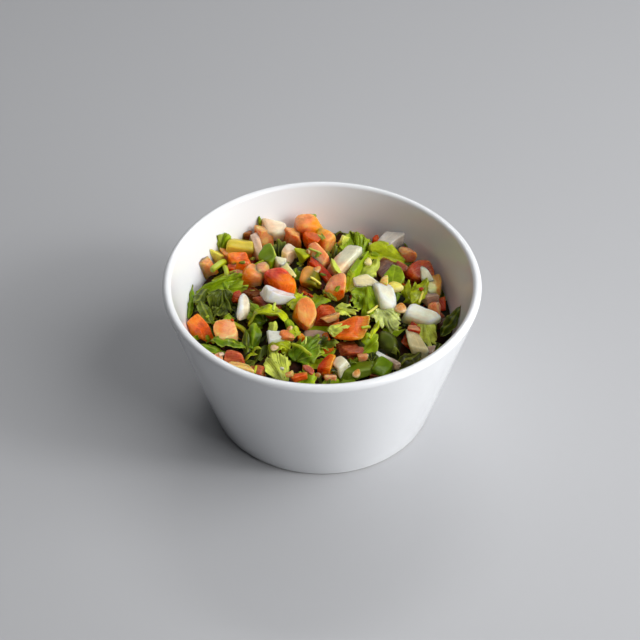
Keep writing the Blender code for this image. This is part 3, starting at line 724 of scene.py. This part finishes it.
def settle(points, piece):
    """Turns a piece and moves it to its place, inside the bowl, as the solids are placed."""
    x, y, top = piece.place
    heading, nose_up, roll = piece.turn
    turn = np.array(Euler([math.radians(a) for a in (roll, -nose_up, heading)], "XYZ").to_matrix())
    reach = np.abs(turn[2]) @ piece.size
    middle = np.array((x, y, skin_height(x, y) + top - SEAT * reach))
    return keep_inside(points @ turn.T + middle)


SIDES = dict(
    nose=(1, 0, 0), tail=(-1, 0, 0), left=(0, 1, 0), right=(0, -1, 0), top=(0, 0, 1), bottom=(0, 0, -1),
)
SIDE_NAMES = list(SIDES)
SKEW = 0.2
CORNER_CUTS = 5
CUT_KEEPS = (0.66, 0.94)
SEAM = (-0.35, 0.35)
FACE_SEAM = (0.3, 0.7)
RIPE_FROM, RIPE_TO = -0.2, 1.2
RIPER = (0.96, 0.72, 0.5)
WAN_FROM, WAN_TO = 0.2, 1.4
WAN_BRIGHTER = 1.15
WAN = (0.1, 0.07, 0.015)
FACE_SHADES = (-0.12, 0.12)
PIECE_SHADES = (0.93, 1.07)
# Painted highlight along a diced piece's edges: how much brighter and paler they are made.
EDGE_HIGHLIGHT_GAIN = 1.25
EDGE_HIGHLIGHT_LIFT = (0.02, 0.015, 0.004)
LUMP_SIZE = 5.0
CREASE_SIZE, CREASE_HEIGHT = 1.7, 1.4
GRAIN_SIZE, GRAIN_HEIGHT = 0.8, 0.5


def cut_planes(piece, draw):
    """A diced piece's faces, each way divided by its reach: six uneven sides and some cut corners."""
    ways = np.array(list(SIDES.values()), float) + draw.normal(0, SKEW, (6, 3))
    reaches = list(np.linalg.norm(ways, axis=1))
    cuts = piece.cuts
    if cuts is None:
        cuts = []
        for _ in range(CORNER_CUTS):
            way = draw.choice((-1, 1), 3) * draw.uniform(0.25, 1, 3)
            cuts.append((*way, draw.uniform(*CUT_KEEPS)))
    for *way, keep in cuts:
        ways = np.vstack([ways, way])
        reaches.append(keep * np.abs(way).sum())
    return ways / np.array(reaches)[:, None]


def paint_piece(piece, local, share, flush, draw):
    """A diced piece's colour: its own and its sides', riper and paler patches, and a painted edge
    highlight.
    """
    tint = np.tile(paint(piece.colour), (len(local), 1))
    # Some sides' colours: skin and two-tone flesh, and in some rows painted highlight and painted shade on
    # lit and shaded sides.
    for side, colour in piece.half.items():
        along = local @ np.array(SIDES[side]) + 0.25 * waves(local, 1.2, draw)
        tint = blend(tint, paint(colour), ease(along, *SEAM)[:, None])
    for side, colour in piece.faces.items():
        amount = share[:, SIDE_NAMES.index(side)] + 0.08 * waves(local, 0.8, draw)
        tint = blend(tint, paint(colour), ease(amount, *FACE_SEAM)[:, None])
    body = local * piece.size / 2
    patchy = flush * (1 - tint[:, 2:])
    ripe = ease(waves(body, 5.0, draw) + 0.4 * waves(body, 1.6, draw), RIPE_FROM, RIPE_TO)
    tint = blend(tint, tint * RIPER, patchy * ripe[:, None])
    wan = ease(waves(body, 3.6, draw) + 0.5 * waves(body, 1.2, draw), WAN_FROM, WAN_TO)
    tint = blend(tint, tint * WAN_BRIGHTER + WAN, patchy * wan[:, None])
    shade = 1 + share @ draw.uniform(*FACE_SHADES, share.shape[1]) + 0.07 * waves(local, 1.3, draw)
    # Painted highlight: the piece's edges are made brighter and paler.
    edge = ease(1 - share.max(1), 0.2, 0.5)
    tint = blend(tint, tint * EDGE_HIGHLIGHT_GAIN + EDGE_HIGHLIGHT_LIFT, edge[:, None])
    return tint * (shade * draw.uniform(*PIECE_SHADES))[:, None]


def add_dice(pile, piece, draw, put=settle, flush=0.12):
    """A knife-cut piece: an uneven box, corners off, with soft edges and a fleshy surface."""
    grid, quads = cube_grid(piece.steps)
    pull = np.clip(grid @ cut_planes(piece, draw).T, 0, None) ** piece.crisp
    total = pull.sum(1)
    share = pull / total[:, None]
    local = grid * total[:, None] ** (-1 / piece.crisp)
    tint = paint_piece(piece, local, share, flush, draw)
    skin = share[:, SIDE_NAMES.index(piece.skin)] if piece.skin else np.zeros(len(local))
    local[:, 1] *= 1 + piece.taper * local[:, 0]
    local[:, 2] -= piece.arch * (local[:, 0] ** 2 + 0.5 * local[:, 1] ** 2 - 0.5)
    points = local * piece.size / 2
    points += piece.lumps * np.column_stack([waves(points, LUMP_SIZE, draw) for _ in range(3)])
    relief = CREASE_HEIGHT * np.abs(waves(points, CREASE_SIZE, draw))
    relief += GRAIN_HEIGHT * waves(points, GRAIN_SIZE, draw)
    points += normals_of(points, quads) * (piece.relief * relief * (1 - 0.8 * skin))[:, None]
    pile.add_flesh(put(points, piece), quads, tint, points, skin, draw)


STALK_STEPS = 14
STALK_RIDGES = 7
SEED_STEPS = 10


def add_stalk(pile, piece, draw, put=settle):
    """A round stalk with cut ends, bent up in the middle and ridged along."""
    grid, quads = cube_grid(STALK_STEPS)
    across = np.hypot(grid[:, 1], grid[:, 2])
    total = (np.abs(grid[:, 0]) ** 10 + across ** 10) ** 0.1
    local = grid / total[:, None]
    ridge = 1 + 0.05 * np.cos(STALK_RIDGES * np.arctan2(local[:, 2], local[:, 1]))
    local[:, 1:] *= ridge[:, None]
    points = local * piece.size / 2
    points[:, 2] += piece.arch * (1 - local[:, 0] ** 2)
    points[:, 1] += 0.25 * waves(points * (1, 0, 0), 6.0, draw)
    shade = 1 - 0.3 * ease(np.abs(local[:, 0]), 0.6, 1.0)
    tint = paint(piece.colour) * shade[:, None]
    pile.add_flesh(put(points, piece), quads, tint, points, across * 0, draw)


def add_seed(pile, piece, draw, put=settle):
    """A flat seed, blunt at one end and pointed at the other."""
    grid, quads = cube_grid(SEED_STEPS)
    local = grid / np.linalg.norm(grid, axis=1, keepdims=True)
    local[:, 1] *= 1 - 0.35 * local[:, 0]
    rim = ease(np.hypot(local[:, 0], local[:, 1]), 0.6, 1.0)
    tint = blend(paint(piece.colour), paint("bone"), 0.6 * rim[:, None])
    points = local * piece.size / 2
    points += normals_of(points, quads) * (0.05 * waves(points, 0.8, draw))[:, None]
    pile.add_flesh(put(points, piece), quads, tint, points, rim * 0, draw)


TOOTH_TIP = 0.65
LOBE_REACH = (0.8, 1.15)


def fan_plan(piece, t, s, draw):
    """Plan of a leaf that spreads in toothed lobes; t runs across it and s outwards."""
    lobe = (t + 1) / 2 * piece.lobes
    in_lobe = np.abs(2 * (lobe % 1) - 1)
    tooth = (lobe * piece.teeth) % 1
    point = np.minimum(tooth / TOOTH_TIP, (1 - tooth) / (1 - TOOTH_TIP))
    reach = np.interp(lobe, np.arange(piece.lobes) + 0.5, draw.uniform(*LOBE_REACH, piece.lobes))
    reach = reach * (1 - 0.15 * t ** 2) * (1 - piece.notch * in_lobe ** 3)
    reach = reach * (1 - piece.bite * (1 - point))
    angle = t * math.radians(piece.spread) + draw.uniform(-0.06, 0.06, len(t))[:, None] * s
    x = s * reach * np.cos(angle)
    y = s * reach * np.sin(angle)
    x = 2 * (x - x.min()) / (x.max() - x.min()) - 1
    y = y / np.abs(y).max()
    return x, y, 1 - in_lobe, lobe, s


def blade_plan(piece, t, s, draw):
    """Plan of a narrow leaf, pointed at both ends."""
    x = 2 * s - 1
    width = (1 - np.abs(x) ** 2.2) ** 0.8 * (1 - 0.12 * x) + 0.03
    width = width * (1 + 0.06 * np.sin(x * 19))
    return x, t * width, 1 - np.abs(t), t / 2 + 0.5, np.abs(t)


def snip(x, y, way, keep):
    """Pulls in what lies past a straight cut, square to the way given in degrees."""
    cut = np.array((math.cos(math.radians(way)), math.sin(math.radians(way))))
    past = np.maximum(x * cut[0] + y * cut[1] - keep, 0)
    return x - past * cut[0], y - past * cut[1]


def knife_cuts(count, draw):
    """Straight cuts across a leaf: each one's way in degrees and its distance out."""
    return [(draw.uniform(0, 360), draw.uniform(0.3, 0.9)) for _ in range(count)]


def bend(along, up, degrees):
    """Bends a surface round a circle, its ends turned down by these degrees between them."""
    if not degrees:
        return along, up
    radius = (along.max() - along.min()) / math.radians(degrees)
    angle = along / radius
    return (radius + up) * np.sin(angle), (radius + up) * np.cos(angle) - radius


def shell(points, thickness):
    """A thin closed solid round a grid of points, and 1 for each point underneath."""
    rows, columns = points.shape[:2]
    normal = np.cross(np.gradient(points, axis=1), np.gradient(points, axis=0))
    normal /= np.maximum(np.linalg.norm(normal, axis=2, keepdims=True), 1e-9)
    half = normal * thickness[..., None] / 2
    cell = np.arange(rows * columns).reshape(rows, columns)
    face = np.stack([cell[:-1, :-1], cell[:-1, 1:], cell[1:, 1:], cell[1:, :-1]], -1).reshape(-1, 4)
    ring = np.concatenate([cell[0, :-1], cell[:-1, -1], cell[-1, :0:-1], cell[:0:-1, 0]])
    after = np.roll(ring, -1)
    below = rows * columns
    rim = np.column_stack([after, ring, ring + below, after + below])
    quads = np.concatenate([face, face[:, ::-1] + below, rim])
    under = np.repeat((0.0, 1.0), below)
    return np.concatenate([points + half, points - half]).reshape(-1, 3), quads, under


LEAF_THICKNESS = 0.17
TOOTH_STEPS = 6
STEM_END = 0.07
OUTWARD_STEPS = 13
BLADE_GRID = (11, 31)
SWAY_SIZE, SWAY = 4.2, (0.4, 0.4, 0.8)
CREASE = (0, 0, 1.4)
LEAF_SHADES = (0.86, 1.14)


def add_leaf(pile, piece, draw, put=settle, detail=1.0):
    """A thin leaf or blade, folded, ruffled, bent and creased."""
    if piece.form == "fan":
        across = round(piece.lobes * piece.teeth * TOOTH_STEPS * detail) + 1
        outward, start, plan = round(OUTWARD_STEPS * detail), STEM_END, fan_plan
    else:
        (across, outward), start, plan = BLADE_GRID, 0, blade_plan
    t, s = np.linspace(-1, 1, across)[:, None], np.linspace(start, 1, outward)[None, :]
    x, y, ridge, vein, out = np.broadcast_arrays(*plan(piece, t, s, draw))
    for way, keep in piece.snips:
        x, y = snip(x, y, way, keep)
    length, width, height = piece.size
    ruffle = piece.ruffle * out ** 2 * np.sin(piece.ruffles * math.pi * t + draw.uniform(0, 6.3))
    dome = piece.cup * (0.5 - 0.6 * x ** 2 - 0.6 * y ** 2)
    z = height / 2 * (dome + ruffle) + piece.ribs * (ridge - 0.5) * out
    x, y = x * length / 2, y * width / 2
    z = z - piece.fold * np.abs(y)
    x, z = bend(x, z, piece.curl)
    y, z = bend(y, z, piece.wrap)
    points = np.stack([x, y, z], -1)
    flat = points.reshape(-1, 3)
    sway = np.column_stack([waves(flat, SWAY_SIZE, draw) for _ in range(3)]) * SWAY
    crease = 0.5 - np.abs(waves(flat, 5.0, draw))
    flat += piece.crumple * (sway + crease[:, None] * CREASE)
    thickness = LEAF_THICKNESS * (1.1 - 0.6 * out ** 4)
    points, quads, under = shell(flat.reshape(points.shape), thickness)
    top_tint, under_tint = paint(piece.colour), paint(piece.under)
    tint = blend(top_tint, blend(top_tint, under_tint, 0.6), under[:, None])
    edge = np.tile(out.ravel(), 2)
    shade = draw.uniform(*LEAF_SHADES) * (0.72 + 0.36 * edge) * (1 + 0.2 * waves(points, 3.6, draw))
    tint = blend(tint * shade[:, None], paint("pale"), 0.35 * edge[:, None] ** 9)
    grain = np.column_stack([np.tile(vein.ravel(), 2), edge * length, under])
    pile.add(put(points, piece), quads, tint, grain, under)


# What fills the gaps: each kind's share, its colours, and its sizes across and high. The colours lean
# dark:
# painted shade for pieces that lie low in the gaps.
FILLER_KINDS = (
    ("leaf", 0.73, ("moss", "leaf", "grass", "leaf", "dark", "grass", "lime"), (7.5, 12.5), (2, 3.4)),
    ("tomato", 0.15, ("brick", "rust", "deep", "skin", "sienna"), (3.6, 6.6), (3.4, 5.6)),
    ("pepper", 0.06, ("green", "moss", "bottle"), (3.4, 6.4), (2.6, 4.2)),
    ("stalk", 0.06, ("lime", "grass", "moss"), (5, 9), (1.2, 1.8)),
)
FILLER_STEPS = 10
FILLER_TILT = 20
LEAF_TILT = 45
# Lighter colours, without that painted shade, where the wall hides them from the front and they lie
# higher.
FRONT_COLOURS = dict(
    leaf=("grass", "leaf", "lime", "moss"), tomato=("salmon", "orange", "peach", "brick"),
    pepper=("green", "leaf", "mustard"), stalk=("lime", "pale"),
)
# Holes where no filler lies, so the pulp's near-black painted shade shows there: place and radius.
HOLES = (
    (24, -15, 4), (-8, -7, 2.5), (-13.5, -8, 3.5), (-17.8, -19.4, 3.8), (15, 13.5, 1.5),
)
# Scraps that lie on top: each kind's count, colours, and sizes across.
SCRAP_KINDS = (
    ("leaf", 45, ("grass", "lime", "leaf", "pale", "moss"), (1.6, 3.6)),
    ("tomato", 16, ("salmon", "coral", "skin", "deep"), (1, 2.2)),
    ("onion", 4, ("pearl", "shell"), (1, 2)),
    ("stalk", 14, ("pale", "lime", "lemon"), (2.4, 5.5)),
    ("seed", 4, ("tan", "straw"), (1.8, 2.4)),
)
SCRAP_SPREAD = 37
SCRAP_STEPS = 5
SCRAP_WIDTH = (0.5, 0.9)
SCRAP_HEIGHT = 0.7
LEAF_SCRAP_HEIGHT = 0.8
STALK_SCRAP_WIDTH = (0.6, 0.9)
SCRAP_LIFT = 0.3


def in_hole(x, y):
    return any(math.hypot(x - hole_x, y - hole_y) < radius for hole_x, hole_y, radius in HOLES)


def filler_piece(x, y, draw):
    """One seeded piece for a gap, and the name of its kind."""
    pick = draw.choice(len(FILLER_KINDS), p=[kind[1] for kind in FILLER_KINDS])
    name, _, colours, across, high = FILLER_KINDS[pick]
    length, width = draw.uniform(*across, 2)
    height = draw.uniform(*high)
    top = draw.uniform(*(LEAF_FILLER_TOP if name == "leaf" else BLOCK_FILLER_TOP))
    if y < HIDDEN_FRONT:
        colours = FRONT_COLOURS[name]
        top = draw.uniform(*FRONT_TOP)
    colour = colours[draw.integers(len(colours))]
    looks = dict(steps=FILLER_STEPS)
    tilt = FILLER_TILT
    if name == "stalk":
        width = height
    if name == "leaf":
        tilt = LEAF_TILT
        looks = dict(
            crumple=draw.uniform(0.3, 0.8), wrap=draw.uniform(-40, 110), fold=draw.uniform(0, 0.5),
            lobes=int(draw.integers(2, 4)), ribs=draw.uniform(0.4, 0.9), under=colour,
            snips=knife_cuts(2, draw),
        )
    turn = (draw.uniform(0, 360), *draw.uniform(-tilt, tilt, 2))
    return name, row(colour, x, y, top, length, width, height, *turn, **looks)


def add_fillers(makers, piles, draw):
    """Pieces on a spiral: low between those that show, full where the wall hides them."""
    for i in range(FILLERS):
        distance = FILLER_SPREAD * math.sqrt((i + 0.5) / FILLERS)
        x, y = distance * math.cos(i * GOLDEN_ANGLE), distance * math.sin(i * GOLDEN_ANGLE)
        name, piece = filler_piece(x, y, draw)
        if not in_hole(x, y):
            makers[name](piles[name], piece, draw)


def lay(points, piece):
    """Lays a scrap on the spot and slope that it fell on."""
    return keep_inside(points @ piece.turn.T + piece.place)


def scrap_piece(name, colours, across, draw):
    """One seeded scrap, not yet in its place."""
    length = draw.uniform(*across)
    width = length * draw.uniform(*SCRAP_WIDTH)
    height = width * SCRAP_HEIGHT
    colour = colours[draw.integers(len(colours))]
    looks = dict(steps=SCRAP_STEPS, lumps=0.05)
    if name == "leaf":
        height = LEAF_SCRAP_HEIGHT
        looks = dict(
            lobes=int(draw.integers(1, 3)), teeth=2, ribs=0.3, crumple=0.15,
            wrap=draw.uniform(0, 60), snips=knife_cuts(3, draw),
        )
    if name == "stalk":
        width = height = draw.uniform(*STALK_SCRAP_WIDTH)
    return row(colour, 0, 0, 0, length, width, height, **looks)


def add_scraps(makers, piles, tree, owners, draw):
    """Small scraps, each laid flat on what lies under it, the onion left clean."""
    for name, count, colours, across in SCRAP_KINDS:
        for _ in range(count):
            angle = draw.uniform(0, 2 * math.pi)
            distance = SCRAP_SPREAD * math.sqrt(draw.uniform())
            x, y = distance * math.cos(angle), distance * math.sin(angle)
            piece = scrap_piece(name, colours, across, draw)
            heading = draw.uniform(0, 2 * math.pi)
            place, normal, face, _ = tree.ray_cast((x, y, HIGHEST + 10), (0, 0, -1))
            if place is None or owners[face] == "onion_dice" or in_hole(x, y):
                continue
            across_way = normal.cross((math.cos(heading), math.sin(heading), 0)).normalized()
            along = across_way.cross(normal)
            piece.turn = np.column_stack([along, across_way, normal])
            piece.place = np.array(place + normal * SCRAP_LIFT * float(piece.size[2]))
            makers[name](piles[name], piece, draw, lay)


def tree_of(piles):
    """The piles' surface, for laying scraps on, and the name of each face's pile."""
    points, quads, owners = [], [], []
    for pile in piles:
        arrays, faces = pile.arrays()
        quads += (faces + len(points)).tolist()
        points += arrays[0].tolist()
        owners += [pile.name] * len(faces)
    return BVHTree.FromPolygons(points, quads), owners


# Each kind's object, and the pieces of it that show.
PILES = {
    "tomato": ("tomato_dice", TOMATO), "onion": ("onion_dice", ONION), "pepper": ("pepper_pieces", PEPPER),
    "leaf": ("coriander_leaves", LEAF + BLADE), "stalk": ("coriander_stalks", STEM),
    "seed": ("seeds", SEEDS), "chopped": ("chopped_coriander", ()),
}


def make_salad(draw):
    """The pieces that show, the fillers, then the scraps on top, one object for each kind."""
    piles = {kind: Pile(name) for kind, (name, _) in PILES.items()}
    makers = {
        "tomato": functools.partial(add_dice, flush=0.8), "onion": add_dice, "pepper": add_dice,
        "leaf": add_leaf, "stalk": add_stalk, "seed": add_seed,
    }
    for blade in BLADE:
        blade.form = "blade"
    for index, (kind, (_, pieces)) in enumerate(PILES.items()):
        for number, piece in enumerate(pieces):
            makers[kind](piles[kind], piece, np.random.default_rng((SEED, index, number)))
    makers["leaf"] = functools.partial(add_leaf, detail=0.5)
    small = piles | {"leaf": piles["chopped"]}
    add_fillers(makers, small, draw)
    add_scraps(makers, small, *tree_of(piles.values()), draw)
    leaf = foliage()
    for kind, pile in piles.items():
        pile.make(flesh(kind) if kind in FLESH else leaf)


def make_floor():
    """A plain pale floor."""
    bm = bmesh.new()
    bmesh.ops.create_grid(bm, x_segments=1, y_segments=1, size=FLOOR_REACH)
    bmesh.ops.translate(bm, verts=bm.verts, vec=(0, 0, -FLOOR_DROP))
    mesh = bpy.data.meshes.new("floor")
    bm.to_mesh(mesh)
    bm.free()
    s = Shader("floor")
    s.cover(s.mix(s.noise(s.place(), 3, 2), *FLOOR_GREYS), 0.45)
    mesh.materials.append(s.material)
    floor = new_object("floor", mesh)


def make_lights():
    """Soft boxes at the right, overhead and behind, two small ones for glints, and a dim sky."""
    for name, place, target, size, power, colour in LIGHTS:
        light = bpy.data.lights.new(name, "AREA")
        light.shape = "RECTANGLE"
        light.size, light.size_y = size
        light.energy = power
        light.color = colour
        lamp = new_object(name, light)
        lamp.location = place
        lamp.rotation_euler = (Vector(target) - Vector(place)).to_track_quat("-Z", "Y").to_euler()
    world = bpy.data.worlds.new("studio")
    world.use_nodes = True
    sky = world.node_tree.nodes["Background"].inputs
    sky["Color"].default_value = WORLD_COLOUR
    sky["Strength"].default_value = WORLD_STRENGTH
    bpy.context.scene.world = world


def make_camera():
    """The camera at the photo's angle, aimed at the bowl's middle."""
    camera = bpy.data.cameras.new("camera")
    camera.sensor_width = SENSOR
    camera.lens = LENS
    holder = new_object("camera", camera)
    pitch = math.radians(CAMERA_PITCH)
    back = Vector((0, -math.cos(pitch), math.sin(pitch))) * CAMERA_DISTANCE
    holder.location = (Vector(CAMERA_AIM) + back) * MM
    holder.rotation_euler = (math.pi / 2 - pitch, 0, 0)
    bpy.context.scene.camera = holder
    bpy.context.scene.view_settings.view_transform = "Standard"


rng = np.random.default_rng(SEED)
make_bowl()
make_core(rng)
make_salad(rng)
make_floor()
make_lights()
make_camera()
